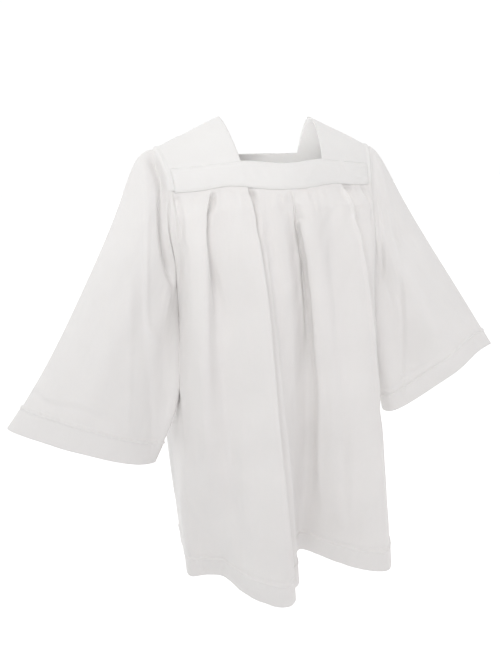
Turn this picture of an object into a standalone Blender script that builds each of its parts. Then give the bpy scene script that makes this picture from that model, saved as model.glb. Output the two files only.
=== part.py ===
"""A white choir surplice, worn: square yoke, applied chest band, gathered body and bell sleeves.

The wearer faces -Y, the wearer's left is +X, and +Z is up. The origin is midway between the two
points where the yoke lies on the shoulders beside the neck. All sizes are in metres.
"""

import math

import bmesh
import bpy
import numpy as np

# Cloth and seams
CLOTH = 0.0014
BAND_CLOTH = 0.0012
SEAM_GAP = 0.0003
BODY_HEM = 0.048
CUFF_HEM = 0.042
HEM_STEP = 0.003

# Yoke, measured from the middle of the garment
NECK_TOP_X = 0.088
NECK_FRONT_X = 0.070
NECK_BACK_X = 0.092
NECK_BACK_Z = -0.062
RIDGE_Y = 0.004
TIP = (0.210, -0.010, -0.053)
YOKE_CURVE = 1.48
ARMHOLE_BEND = 1.2
BAND_HALF = 0.186
BAND_DROP = 0.003
BAND_GAP = 0.0004
STRAP_CELLS = 8
NECK_CELLS = 14
STRAP_ROWS = 7
CHEST_ROWS = 3

# Armhole and body
ARMHOLE_X = 0.197
UNDERARM_X = {"right": 0.190, "left": 0.212}
ARMHOLE_SWELL = {"right": 0.005, "left": 0.0}
ARMHOLE_SWELL_DEPTH = 0.13
UNDERARM_Y = -0.028
UNDERARM_Z = -0.345
CHEST_Z = -0.220
HIP_Z = -0.550
HEM_Z = -0.915

# Gathers where the body is sewn to the yoke
SEAM_EDGE_Z = -0.1205
TUCKED = 0.0045
ARMHOLE_DEPTHS = (0.0, TUCKED, 0.013, 0.030, 0.050, 0.070, 0.092, 0.118, 0.150, 0.184, SEAM_EDGE_Z - UNDERARM_Z)
SEAM_RISE = {"right": 0.0085, "left": 0.0055}
GATHER_DEPTH = 0.0022
GATHER_FADE = 0.055
FRONT_GATHERS = 17
BACK_GATHERS = 16

# Sleeves, given for the wearer's left one
CUFF_TOP = (0.493, -0.092, -0.472)
CUFF_UNDER = (0.258, -0.042, -0.613)
CUFF_HALF_DEPTH = 0.056
CUFF_LENS = 1.25
PUFF_AT = 0.08
SLEEVE_COLUMNS = 40

# Folds of the body, each a line down the cloth. Plan positions at the yoke seam, chest, hip and hem.
# name, seam x, seam y, chest x, chest y, hip x, hip y, hem x, hem y
FRONT_FOLDS = (
    ("right_edge", -0.190, -0.055, -0.184, -0.068, -0.211, -0.048, -0.206, -0.040),
    ("right_panel", -0.165, -0.064, -0.171, -0.090, -0.192, -0.082, -0.172, -0.049),
    ("right_pleat", -0.136, -0.074, -0.151, -0.103, -0.162, -0.102, -0.142, -0.066),
    ("right_valley", -0.124, -0.077, -0.136, -0.089, -0.128, -0.104, -0.124, -0.109),
    ("right_slope", -0.095, -0.087, -0.100, -0.100, -0.085, -0.126, -0.090, -0.164),
    ("great_ridge", -0.067, -0.093, -0.058, -0.116, -0.040, -0.149, -0.044, -0.193),
    ("great_flank", -0.048, -0.093, -0.038, -0.100, -0.014, -0.120, -0.004, -0.152),
    ("small_ridge", -0.018, -0.099, -0.006, -0.103, 0.016, -0.092, 0.014, -0.092),
    ("deep_valley", 0.004, -0.098, 0.026, -0.087, 0.050, -0.073, 0.042, -0.056),
    ("left_pleat", 0.015, -0.100, 0.037, -0.113, 0.074, -0.108, 0.086, -0.102),
    ("left_panel", 0.070, -0.094, 0.090, -0.101, 0.125, -0.128, 0.128, -0.151),
    ("left_ridge", 0.124, -0.079, 0.146, -0.097, 0.185, -0.127, 0.194, -0.184),
    ("left_valley", 0.150, -0.069, 0.176, -0.077, 0.209, -0.088, 0.222, -0.148),
    ("left_edge", 0.190, -0.055, 0.199, -0.066, 0.204, -0.054, 0.226, -0.082),
)
BACK_FOLDS = (
    ("right_edge", -0.190, 0.060, -0.185, 0.068, -0.214, 0.062, -0.197, 0.084),
    ("right_ridge", -0.152, 0.070, -0.158, 0.096, -0.178, 0.112, -0.162, 0.138),
    ("right_valley", -0.118, 0.076, -0.120, 0.082, -0.124, 0.086, -0.112, 0.088),
    ("right_middle", -0.084, 0.081, -0.084, 0.110, -0.082, 0.144, -0.074, 0.176),
    ("middle_valley", -0.038, 0.084, -0.036, 0.090, -0.030, 0.098, -0.020, 0.098),
    ("middle_ridge", 0.004, 0.085, 0.010, 0.108, 0.018, 0.132, 0.026, 0.158),
    ("left_middle", 0.040, 0.084, 0.046, 0.090, 0.058, 0.094, 0.066, 0.092),
    ("left_ridge", 0.092, 0.079, 0.106, 0.108, 0.118, 0.140, 0.128, 0.180),
    ("left_valley", 0.134, 0.073, 0.148, 0.079, 0.164, 0.084, 0.176, 0.094),
    ("outer_ridge", 0.165, 0.067, 0.180, 0.084, 0.192, 0.092, 0.204, 0.112),
    ("left_edge", 0.190, 0.060, 0.201, 0.066, 0.206, 0.050, 0.220, 0.060),
)
# side, hip x, hip y, hem x, hem y of the side seam
SIDE_SEAMS = (
    ("right", -0.216, 0.010, -0.201, 0.022),
    ("left", 0.206, 0.006, 0.221, 0.006),
)
# side, place round the sleeve (0 top, 0.25 front, 0.5 under), width, and depth at head, middle and cuff
SLEEVE_FOLDS = (
    ("right", 0.20, 0.045, 0.002, 0.006, 0.004),
    ("right", 0.31, 0.050, 0.006, 0.012, 0.004),
    ("right", 0.41, 0.050, -0.008, -0.010, -0.004),
    ("right", 0.66, 0.050, -0.003, -0.010, -0.007),
    ("right", 0.80, 0.050, 0.003, 0.007, 0.005),
    ("left", 0.15, 0.045, -0.003, -0.004, -0.003),
    ("left", 0.24, 0.045, 0.004, 0.006, 0.006),
    ("left", 0.34, 0.045, -0.004, -0.008, -0.007),
    ("left", 0.43, 0.040, 0.003, 0.007, 0.007),
    ("left", 0.67, 0.050, -0.003, -0.009, -0.006),
    ("left", 0.82, 0.050, 0.003, 0.008, 0.005),
)
# side, how far the line over the arm hangs inside the straight from shoulder to cuff, most nearer the cuff
ARM_SAG = {"right": 0.009, "left": -0.002}
SAG_TURN = 2.2
# side, how far the cuff's front edge is lifted above the straight from top to under
CUFF_LIFT = {"right": 0.009, "left": 0.033}
# side, how far the sleeve head puffs out past the yoke
PUFF = {"right": 0.011, "left": 0.004}
HEAD_LIFT = {"right": 0.010, "left": 0.009}
# side, how far the line under the arm hangs in against the body
UNDER_SAG = {"right": 0.013, "left": 0.017}
HEAD_GATHERS = 9
HEAD_GATHER_DEPTH = 0.0024

COLOURS = {
    "yoke_cloth": (0.86, 0.86, 0.85),
    "body_cloth": (0.84, 0.84, 0.83),
    "sleeve_cloth": (0.85, 0.84, 0.83),
}
CLOTH_ROUGHNESS = 0.82


def clear_scene():
    for thing in list(bpy.data.objects):
        bpy.data.objects.remove(thing)


def cloth_material(name):
    material = bpy.data.materials.new(name)
    material.use_nodes = True
    shader = material.node_tree.nodes["Principled BSDF"]
    shader.inputs["Base Color"].default_value = (*COLOURS[name], 1.0)
    shader.inputs["Roughness"].default_value = CLOTH_ROUGHNESS
    shader.inputs["Metallic"].default_value = 0.0
    return material


def unit(vectors):
    return vectors / np.linalg.norm(vectors, axis=-1, keepdims=True)


def eased(points):
    """Slopes at each point of a row of points, weighted by the chords on its two sides."""
    chords = np.linalg.norm(np.diff(points, axis=0), axis=1)
    rates = np.diff(points, axis=0) / chords[:, None]
    slopes = np.empty_like(points)
    slopes[0], slopes[-1] = rates[0], rates[-1]
    before, after = chords[:-1, None], chords[1:, None]
    slopes[1:-1] = (rates[:-1] * after + rates[1:] * before) / (before + after)
    return slopes, chords


def smooth_path(points, cells):
    """A smooth curve through the points, with cells[k] equal steps between points k and k + 1."""
    slopes, chords = eased(points)
    found = []
    for k, steps in enumerate(cells):
        t = np.arange(steps)[:, None] / steps
        found.append(hermite(points[k], points[k + 1], slopes[k] * chords[k], slopes[k + 1] * chords[k], t))
    found.append(points[-1:])
    return np.concatenate(found)


def hermite(start, end, start_slope, end_slope, t):
    return (
        start * (2 * t**3 - 3 * t**2 + 1)
        + end * (3 * t**2 - 2 * t**3)
        + start_slope * (t**3 - 2 * t**2 + t)
        + end_slope * (t**3 - t**2)
    )


def down_the_fold(levels, places, z):
    """Plan position at height z of a line given at several levels, smoothly between them."""
    levels = np.asarray(levels)
    places = np.asarray(places)
    drops = levels[:-1] - levels[1:]
    rates = np.diff(places, axis=0) / drops[:, None]
    slopes = np.empty_like(places)
    slopes[0], slopes[-1] = rates[0], rates[-1]
    before, after = drops[:-1, None], drops[1:, None]
    slopes[1:-1] = (rates[:-1] * after + rates[1:] * before) / (before + after)
    k = int(np.clip(np.searchsorted(-levels, -z) - 1, 0, len(drops) - 1))
    t = (levels[k] - z) / drops[k]
    return hermite(places[k], places[k + 1], slopes[k] * drops[k], slopes[k + 1] * drops[k], t)


def across(x):
    """0 in the middle of the chest and 1 at the band's end, round in the middle."""
    soft = 0.2
    return (np.sqrt((x / BAND_HALF) ** 2 + soft**2) - soft) / (math.sqrt(1 + soft**2) - soft)


def front_seam(x):
    """The line across the chest where the yoke ends and the gathered front begins."""
    rise = np.where(x < 0, SEAM_RISE["right"], SEAM_RISE["left"]) * np.exp(-(((np.abs(x) - 0.095) / 0.045) ** 2))
    return np.stack([x, -0.100 + 0.048 * across(x), SEAM_EDGE_Z + rise], axis=-1)


def back_seam(x):
    return np.stack([x, 0.086 - 0.026 * across(x), -0.123 + 0.002 * across(x)], axis=-1)


def front_neck_z(x):
    """Height of the band's top edge, which is also the front edge of the neck opening."""
    side = np.clip((np.abs(x) - NECK_FRONT_X) / (ARMHOLE_X - NECK_FRONT_X), 0, 1)
    middle = np.clip(1 - np.abs(x) / NECK_FRONT_X, 0, 1)
    return -0.0750 - 0.0105 * side**0.8 - 0.0055 * np.sin(middle * math.pi / 2) ** 2


def back_neck_z(x):
    side = np.clip((np.abs(x) - NECK_BACK_X) / (ARMHOLE_X - NECK_BACK_X), 0, 1)
    return NECK_BACK_Z - 0.012 * side


def yoke_columns(neck_x, strap_cells, neck_cells):
    """Places across the yoke, from the right armhole to the left, at its lower seam and on the shoulder."""
    strap = np.concatenate([[ARMHOLE_X], np.linspace(BAND_HALF, neck_x, strap_cells)])
    neck = np.linspace(-neck_x, neck_x, neck_cells + 1)[1:-1]
    low = np.concatenate([-strap, neck, strap[::-1]])
    share = (strap - neck_x) / (ARMHOLE_X - neck_x)
    high_strap = NECK_TOP_X + (TIP[0] - NECK_TOP_X) * share
    high = np.concatenate([-high_strap, neck * NECK_TOP_X / neck_x, high_strap[::-1]])
    return low, high


def shoulder_line(x):
    """The yoke's highest line, over the shoulder from neck to sleeve."""
    share = (np.abs(x) - NECK_TOP_X) / (TIP[0] - NECK_TOP_X)
    share = np.clip(share, 0, 1)
    return np.stack([x, RIDGE_Y + (TIP[1] - RIDGE_Y) * share, TIP[2] * share], axis=-1)


def yoke_surface(seam, neck_z, low, high, strap_rows, chest_rows):
    """Rows from the shoulder line down to the seam. Row strap_rows runs along the neck's lower edge."""
    top = shoulder_line(high)
    bottom = seam(low)
    drop = top[:, 2] - bottom[:, 2]
    reach = bottom[:, 1] - top[:, 1]
    turn_at = np.clip((neck_z(low) - bottom[:, 2]) / drop, 0, 1)
    turn_at = np.arccos(turn_at ** (YOKE_CURVE / 2))
    bend = 1 + ARMHOLE_BEND * np.clip((np.abs(high) - NECK_TOP_X) / (TIP[0] - NECK_TOP_X), 0, 1)
    rows = []
    for j in range(strap_rows + chest_rows + 1):
        if j <= strap_rows:
            angle = turn_at * (j / strap_rows)
        else:
            angle = turn_at + (math.pi / 2 - turn_at) * (j - strap_rows) / chest_rows
        height = np.cos(angle) ** (2 / YOKE_CURVE)
        out = np.sin(angle) ** (2 / YOKE_CURVE)
        x = top[:, 0] + (bottom[:, 0] - top[:, 0]) * (1 - height**bend)
        rows.append(np.stack([x, top[:, 1] + reach * out, bottom[:, 2] + drop * height], axis=-1))
    return np.array(rows)


def surface_normals(grid, ring=False):
    """Unit normals of a grid of points, facing out when rows run down and columns run to the right."""
    if ring:
        across_step = np.roll(grid, -1, axis=1) - np.roll(grid, 1, axis=1)
    else:
        across_step = np.gradient(grid, axis=1)
    down_step = np.gradient(grid, axis=0)
    return unit(np.cross(down_step, across_step))


def wall(name, outer, inner, cells, material, ring=False):
    """A closed wall between two grids of points, over the cells that are True."""
    rows, columns = outer.shape[:2]
    mesh = bmesh.new()
    made = {}

    def corner(side, j, i):
        key = (side, j, i % columns)
        if key not in made:
            made[key] = mesh.verts.new((outer, inner)[side][key[1], key[2]])
        return made[key]

    def filled(j, i):
        if ring:
            i %= columns
        return 0 <= j < cells.shape[0] and 0 <= i < cells.shape[1] and cells[j, i]

    for j in range(cells.shape[0]):
        for i in range(cells.shape[1]):
            if not cells[j, i]:
                continue
            loop = ((j, i), (j + 1, i), (j + 1, i + 1), (j, i + 1))
            points = [outer[a, b % columns] for a, b in loop]
            turned = np.linalg.norm(points[0] - points[2]) > np.linalg.norm(points[1] - points[3])
            split = (loop[1:] + loop[:1]) if turned else loop
            for half in ((split[0], split[1], split[2]), (split[0], split[2], split[3])):
                mesh.faces.new([corner(0, *at) for at in half])
                mesh.faces.new([corner(1, *at) for at in reversed(half)])
            beside = ((j, i - 1), (j + 1, i), (j, i + 1), (j - 1, i))
            for k, neighbour in enumerate(beside):
                if not filled(*neighbour):
                    a, b = loop[k], loop[(k + 1) % 4]
                    mesh.faces.new([corner(0, *b), corner(0, *a), corner(1, *a), corner(1, *b)])
    bmesh.ops.recalc_face_normals(mesh, faces=mesh.faces)
    data = bpy.data.meshes.new(name)
    mesh.to_mesh(data)
    mesh.free()
    data.shade_smooth()
    data.set_sharp_from_angle(angle=math.radians(50))
    data.materials.append(material)
    piece = bpy.data.objects.new(name, data)
    surplice.objects.link(piece)
    return piece


def draw_back(outer, inner, edge, distance):
    """Moves one edge of a wall into its panel, for the gap at a seam. edge is top, bottom, first or last."""
    here, beyond = {
        "top": (np.s_[0, :], np.s_[1, :]),
        "bottom": (np.s_[-1, :], np.s_[-2, :]),
        "first": (np.s_[:, 0], np.s_[:, 1]),
        "last": (np.s_[:, -1], np.s_[:, -2]),
    }[edge]
    step = unit(outer[beyond] - outer[here]) * distance
    outer[here] += step
    inner[here] += step


def make_yoke(name, seam, neck_z, neck_x, faces_front):
    """One half of the yoke: two shoulder straps and the strip below the neck."""
    low, high = yoke_columns(neck_x, STRAP_CELLS, NECK_CELLS)
    outer = yoke_surface(seam, neck_z, low, high, STRAP_ROWS, CHEST_ROWS)
    facing = surface_normals(outer) * (1 if faces_front else -1)
    slope = math.atan2(-TIP[2], TIP[0] - NECK_TOP_X)
    side = np.sign(high)
    facing[0] = np.stack([side * math.sin(slope), 0 * side, 0 * side + math.cos(slope)], axis=-1)
    facing[-1] = seam_normals(seam, low)
    inner = outer - CLOTH * facing
    whole = outer.copy()
    for edge in ("top", "bottom"):
        draw_back(outer, inner, edge, SEAM_GAP / 2)
    cells = np.ones((STRAP_ROWS + CHEST_ROWS, len(low) - 1), bool)
    cells[:STRAP_ROWS, STRAP_CELLS:-STRAP_CELLS] = False
    wall(name, outer, inner, cells, materials["yoke_cloth"])
    return whole, facing


def seam_normals(seam, x):
    """Level normals of the seam line, facing out of the garment."""
    reach = 0.001
    run = seam(x + reach) - seam(x - reach)
    level = unit(np.stack([run[:, 1], -run[:, 0], 0 * x], axis=-1))
    return level * np.sign(seam(x)[:, 1:2]) * np.sign(level[:, 1:2])


def make_band(yoke, facing):
    """The strip topstitched over the yoke's lower edge, made from the yoke's own points moved out."""
    lip = yoke[-1:, 1:-1] - np.array([0, 0, BAND_DROP])
    under = np.concatenate([yoke[STRAP_ROWS:, 1:-1], lip])
    outward = np.concatenate([facing[STRAP_ROWS:, 1:-1], facing[-1:, 1:-1]])
    inner = under + BAND_GAP * outward
    outer = inner + BAND_CLOTH * outward
    cells = np.ones((under.shape[0] - 1, under.shape[1] - 1), bool)
    wall("chest_band", outer, inner, cells, materials["yoke_cloth"])


def armhole(side, z, seam_y):
    """Plan position of an armhole's edge at height z, as if on the left, from the yoke seam to the underarm."""
    depths = np.array(ARMHOLE_DEPTHS)
    swing = np.clip(1.5 * depths / depths[-1], 0, 1)
    edge = ARMHOLE_X + (UNDERARM_X[side] - ARMHOLE_X) * swing**2 * (3 - 2 * swing)
    edge += ARMHOLE_SWELL[side] * np.sin(math.pi * np.clip(depths / ARMHOLE_SWELL_DEPTH, 0, 1)) ** 2
    x = np.interp(SEAM_EDGE_Z - z, depths, edge)
    share = np.clip((SEAM_EDGE_Z - z) / depths[-1], 0, 1)
    return x, UNDERARM_Y + (seam_y - UNDERARM_Y) * np.cos(share * math.pi / 2)


def body_edge(side, z, seam_y):
    """Plan position of a body panel's edge: round the armhole, then down the side seam."""
    name, hip_x, hip_y, hem_x, hem_y = next(row for row in SIDE_SEAMS if row[0] == side)
    sign = 1 if name == "left" else -1
    if z >= UNDERARM_Z:
        x, y = armhole(side, z, seam_y)
        return np.array([sign * x, y])
    levels = (UNDERARM_Z, HIP_Z, HEM_Z)
    places = ((sign * UNDERARM_X[side], UNDERARM_Y), (hip_x, hip_y), (hem_x, hem_y))
    return down_the_fold(levels, places, z)


def body_rows():
    """How far down each row of a body panel lies, from 0 at the yoke seam to 1 at the hem."""
    depths = [*ARMHOLE_DEPTHS, 0.30, 0.40, 0.52, 0.65]
    full = SEAM_EDGE_Z - HEM_Z
    hem_top = full - BODY_HEM
    depths += [hem_top, hem_top + HEM_STEP, full]
    return np.array(depths) / full, len(depths) - 3


def body_surface(folds, seam, neck_x, gathers, cell):
    """Outer points of a body panel: a smooth curve through its folds at each row, with gathers below the seam."""
    seam_y = seam(np.array([ARMHOLE_X]))[0, 1]
    rows, hem_row = body_rows()
    levels = (SEAM_EDGE_Z, CHEST_Z, HIP_Z, HEM_Z)
    hip = np.array([body_edge("right", HIP_Z, seam_y)] + [row[5:7] for row in folds] + [body_edge("left", HIP_Z, seam_y)])
    cells = np.maximum(2, np.round(np.linalg.norm(np.diff(hip, axis=0), axis=1) / cell)).astype(int)
    grid = []
    for share in rows:
        z = SEAM_EDGE_Z + (HEM_Z - SEAM_EDGE_Z) * share
        points = [body_edge("right", z, seam_y)]
        points += [down_the_fold(levels, np.reshape(row[1:], (4, 2)), z) for row in folds]
        points.append(body_edge("left", z, seam_y))
        plan = smooth_path(np.array(points), cells)
        grid.append(np.column_stack([plan, np.full(len(plan), z)]))
    grid = np.array(grid)
    depth = (SEAM_EDGE_Z - grid[:, :1, 2])[..., None]
    free = np.clip((depth - TUCKED) / 0.035, 0, 1)
    free = free * free * (3 - 2 * free)
    low, _ = yoke_columns(neck_x, STRAP_CELLS, NECK_CELLS)
    line = seam(low)
    x = np.clip(grid[0, :, 0], low[0], low[-1])
    top = np.column_stack([x, np.interp(x, low, line[:, 1]), np.interp(x, low, line[:, 2])])
    grid[:, :, :2] = top[:, :2] * (1 - free) + grid[:, :, :2] * free
    grid[:, :, 2] += (top[:, 2] - SEAM_EDGE_Z) * np.clip(1 - depth[..., 0] / 0.08, 0, 1)
    along = np.linspace(0, 1, grid.shape[1])[None, :, None]
    wave = np.sin(2 * math.pi * (gathers * along + 0.35 * np.sin(2 * math.pi * 3 * along)))
    uneven = 0.75 + 0.25 * np.sin(2 * math.pi * (2.3 * along + 0.2))
    edge_fade = np.clip(np.minimum(along, 1 - along) / 0.03, 0, 1)
    rise = np.clip((depth - TUCKED) / 0.016, 0, 1) * np.exp(-depth / GATHER_FADE)
    normals = surface_normals(grid) * np.sign(seam_y) * -1
    grid += normals * GATHER_DEPTH * rise * edge_fade * uneven * wave
    return grid, hem_row


def make_body(name, folds, seam, neck_x, gathers, cell):
    """A gathered panel from the yoke seam to the hem, with the hem's cloth turned up inside."""
    outer, hem_row = body_surface(folds, seam, neck_x, gathers, cell)
    front = seam(np.zeros(1))[0, 1] < 0
    facing = surface_normals(outer) * (1 if front else -1)
    facing[0] = seam_normals(seam, outer[0, :, 0])
    below = outer[:, 0, 2] < UNDERARM_Z + 1e-6
    facing[below, 0] = (-1, 0, 0)
    facing[below, -1] = (1, 0, 0)
    thickness = np.full((outer.shape[0], 1, 1), CLOTH)
    thickness[hem_row + 1 :] = 2 * CLOTH
    inner = outer - thickness * facing
    for edge in ("top", "first", "last"):
        draw_back(outer, inner, edge, SEAM_GAP / 2)
    cells = np.ones((outer.shape[0] - 1, outer.shape[1] - 1), bool)
    wall(name, outer, inner, cells, materials["body_cloth"])


def armhole_ring(side):
    """An armhole as a closed ring on the left: down the front from the shoulder, round the underarm, up the back."""
    parts = []
    for seam, neck_z, neck_x in ((front_seam, front_neck_z, NECK_FRONT_X), (back_seam, back_neck_z, NECK_BACK_X)):
        low, high = yoke_columns(neck_x, STRAP_CELLS, NECK_CELLS)
        edge = yoke_surface(seam, neck_z, low, high, STRAP_ROWS, CHEST_ROWS)[:, -1]
        z = np.linspace(SEAM_EDGE_Z, UNDERARM_Z, 12)[1:]
        start = edge[-1]
        down = np.column_stack([*armhole(side, z, start[1]), z])
        parts.append(np.concatenate([edge, down]))
    front, back = parts
    return np.concatenate([front, back[-2::-1]])


def evenly(line, count):
    """count points spaced evenly round a closed line whose first and last points are the same."""
    run = np.concatenate([[0], np.cumsum(np.linalg.norm(np.diff(line, axis=0), axis=1))])
    at = np.linspace(0, run[-1], count, endpoint=False)
    return np.column_stack([np.interp(at, run, line[:, k]) for k in range(3)])


def cuff_ring(side, count):
    """The cuff's edge: a lens, pinched along the arm's line and under it, open in depth."""
    top, under = np.array(CUFF_TOP), np.array(CUFF_UNDER)
    turn = 2 * math.pi * np.arange(count) / count
    long_way = (top - under) / 2
    middle = (top + under) / 2
    depth = -CUFF_HALF_DEPTH * np.sign(np.sin(turn)) * np.abs(np.sin(turn)) ** CUFF_LENS
    belly = 1 - 0.18 * np.cos(turn)
    ring = middle + np.cos(turn)[:, None] * long_way
    ring[:, 1] += depth * belly
    ring[:, 2] += CUFF_LIFT[side] * np.clip(np.sin(turn), 0, 1) ** 2 * (1 + 0.5 * np.cos(turn))
    return ring


def wrapped(place, centre):
    """Distance round the sleeve, the short way, as a share of its girth."""
    return np.abs((place - centre + 0.5) % 1 - 0.5)


def sleeve_surface(side):
    """Outer points of a sleeve as if on the left, from the armhole to the cuff, with the given side's folds."""
    start = evenly(armhole_ring(side), SLEEVE_COLUMNS)
    start[:, 0] += 1.75 * SEAM_GAP
    end = cuff_ring(side, SLEEVE_COLUMNS)
    place = np.arange(SLEEVE_COLUMNS) / SLEEVE_COLUMNS
    length = np.linalg.norm(end - start, axis=1)
    hem_at = 1 - CUFF_HEM / length
    step_at = hem_at + HEM_STEP / length
    rows = [hem_at * share for share in (0, 0.02, 0.05, 0.10, 0.17, 0.27, 0.40, 0.55, 0.72, 0.88, 1)]
    rows += [step_at, np.ones(SLEEVE_COLUMNS)]
    near_top = np.exp(-((wrapped(place, 0) / 0.16) ** 2))
    head = start.mean(axis=0)
    grid = []
    for along in rows:
        points = start + (end - start) * along[:, None]
        swell = along / PUFF_AT * np.exp(1 - along / PUFF_AT)
        points += (swell * near_top)[:, None] * np.array([PUFF[side], 0.0, HEAD_LIFT[side]])
        points += (swell * (1 - near_top))[:, None] * unit(start - head) * np.array([0.0, 0.004, 0.002])
        sag = ARM_SAG[side] * np.sin(math.pi * along**SAG_TURN) * np.exp(-((wrapped(place, 0) / 0.13) ** 2))
        points += sag[:, None] * np.array([-0.8, 0.0, -0.5])
        hug = UNDER_SAG[side] * np.sin(math.pi * along) ** 2 * np.exp(-((wrapped(place, 0.5) / 0.09) ** 2))
        points[:, 0] -= hug
        grid.append(points)
    grid = np.array(grid)
    along = np.array(rows)
    push = np.zeros_like(along)
    for name, centre, width, at_head, at_middle, at_cuff in SLEEVE_FOLDS:
        if name == side:
            profile = at_head * (1 - along) ** 3 + at_middle * 4 * along * (1 - along) + at_cuff * along**2
            push += profile * np.exp(-((wrapped(place, centre) / width) ** 2))
    waves = np.cos(2 * math.pi * HEAD_GATHERS * wrapped(place, 0) / 0.34)
    waves *= np.exp(-((wrapped(place, 0) / 0.15) ** 4))
    push += HEAD_GATHER_DEPTH * waves * np.clip(along / 0.03, 0, 1) * np.exp(-along / 0.09)
    push *= np.clip(along / 0.05, 0, 1)
    return grid - surface_normals(grid, ring=True) * push[..., None] * inside_out(grid)


def inside_out(grid):
    """-1 where the grid's normals face out of the tube, 1 where they face into it."""
    normals = surface_normals(grid, ring=True)
    middle = grid.mean(axis=1, keepdims=True)
    return -1 if np.sum(normals * (grid - middle)) > 0 else 1


def make_sleeve(side):
    """A bell sleeve: a tube from the armhole ring to the cuff ring, with a turned-up hem."""
    outer = sleeve_surface(side)
    facing = surface_normals(outer, ring=True) * -inside_out(outer)
    first = outer[0] - outer[0].mean(axis=0)
    first[:, 0] = 0
    facing[0] = unit(first)
    thickness = np.full((outer.shape[0], 1, 1), CLOTH)
    thickness[-2:] = 2 * CLOTH
    inner = outer - thickness * facing
    if side == "right":
        outer = outer * np.array([-1, 1, 1])
        inner = inner * np.array([-1, 1, 1])
    cells = np.ones((outer.shape[0] - 1, SLEEVE_COLUMNS), bool)
    wall(f"sleeve_{side}", outer, inner, cells, materials["sleeve_cloth"], ring=True)


clear_scene()
surplice = bpy.data.collections.new("surplice")
bpy.context.scene.collection.children.link(surplice)
materials = {name: cloth_material(name) for name in COLOURS}

make_band(*make_yoke("yoke_front", front_seam, front_neck_z, NECK_FRONT_X, True))
make_yoke("yoke_back", back_seam, back_neck_z, NECK_BACK_X, False)
make_body("body_front", FRONT_FOLDS, front_seam, NECK_FRONT_X, FRONT_GATHERS, 0.0105)
make_body("body_back", BACK_FOLDS, back_seam, NECK_BACK_X, BACK_GATHERS, 0.0125)
make_sleeve("left")
make_sleeve("right")
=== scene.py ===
"""Looks of a worn choir surplice: white poplin with its gathers, creases, seams, hems and topstitching.

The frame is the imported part. The wearer faces -Y, the wearer's left is +X, and +Z is up; the origin
is between the two points where the yoke lies beside the neck. All sizes are in metres.
"""

import math

import bpy
import numpy as np
from mathutils import Matrix, Vector


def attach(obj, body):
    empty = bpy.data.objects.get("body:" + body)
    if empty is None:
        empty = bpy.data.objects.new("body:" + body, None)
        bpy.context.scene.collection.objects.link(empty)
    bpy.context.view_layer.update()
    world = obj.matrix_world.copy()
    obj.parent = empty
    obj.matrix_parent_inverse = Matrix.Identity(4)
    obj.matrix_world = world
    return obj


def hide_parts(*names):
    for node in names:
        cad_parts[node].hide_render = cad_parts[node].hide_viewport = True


# Cloth and seams
POPLIN = 0.0005
DOUBLED_POPLIN = 0.0010
FOLD_GAP = 0.0008
SLEEVE_LAP = 0.0012
SEAM_ROLL = 0.0006
SEAM_ROLL_WIDTH = 0.0017
SEAM_ALLOWANCE = 0.006
SEAM_STRIP = 0.0022
SEAM_STRIP_AT = 0.0055
SEAM_STRIP_WIDTH = 0.0036
BODY_HEM = 0.048
CUFF_HEM = 0.042
HEM_PROUD = 0.0009
HEM_RIDGE = 0.0016
HEM_WAVES = 0.0004
BODY_HEM_GROOVE = 0.0012
CUFF_HEM_GROOVE = 0.0003
STITCH_PITCH = 0.0042
STITCH_LENGTH = 0.0030
THREAD_RADIUS = 0.00028
THREAD_LIFT = 0.00022
THREAD_SUNK = 0.0002

# Heights of the gathers and of the cloth's small waves, and how many gathers there are
BODY_GATHER = 0.0022
SLEEVE_GATHER = 0.0010
GATHER_SWELL = 0.0012
GATHER_FADE = 0.03
BODY_GATHERS = 28
SLEEVE_GATHERS = 40
YOKE_WAVES = 0.0004
BAND_WAVES = 0.0003
BAND_PUCKERS = 0.0004
BROAD_WAVES = 0.0005
FINE_WAVES = 0.00012

# Yoke, measured from the middle of the garment
NECK_TOP_X = 0.088
NECK_FRONT_X = 0.070
NECK_BACK_X = 0.092
NECK_BACK_Z = -0.062
RIDGE_Y = 0.004
TIP = (0.210, -0.010, -0.053)
YOKE_CURVE = 1.48
ARMHOLE_BEND = 1.2
BAND_HALF = 0.186
BAND_LIP = 0.003
BAND_GAP = 0.0004
BAND_CLOTH = 0.0012
BAND_STITCH = 0.0034
BAND_STITCH_PULL = 0.0002
BAND_TOP_ROLL = 0.0013
BAND_TOP_ROLL_WIDTH = 0.0085
BAND_SIDE_ROLL = 0.0007
BAND_SIDE_ROLL_WIDTH = 0.0024
ROLL_LIMIT = 0.0013
EDGE_COLUMNS = 9
STRAP_CELLS = 44
NECK_CELLS = 70
STRAP_ROWS = 48
CHEST_ROWS = 24

# Armhole and body
ARMHOLE_X = 0.197
UNDERARM_X = {"right": 0.190, "left": 0.212}
ARMHOLE_SWELL = {"right": 0.005, "left": 0.0}
ARMHOLE_SWELL_DEPTH = 0.13
UNDERARM_Y = -0.028
UNDERARM_Z = -0.345
SEAM_EDGE_Z = -0.1205
SEAM_RISE = {"right": 0.0085, "left": 0.0055}
TUCKED = 0.0045
CHEST_Z = -0.220
HIP_Z = -0.550
HEM_Z = -0.915
FREED_OVER = 0.035
RISE_FADE = 0.08
GATHERED = 0.06
OVER_STITCHES = 0.012
UNDER_STITCHES = 0.008
BODY_ROWS = (28, 64, 24, 9)
FINE_CELLS = 60
BODY_COLUMNS = 330
LINE_DENSITY = 5
LINE_REACH = 0.004
EDGE_DENSITY = 4
EDGE_REACH = 0.010
PLEAT_EDGE = 0.0026
HOLLOW_SPREAD = 4
FADE_IN = 0.02
SLOW_FADE_IN = 0.10
FADE_OUT = 0.12
PRESSED_HEIGHT = 0.0008
PRESSED_WIDTH = 0.0035

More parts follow.
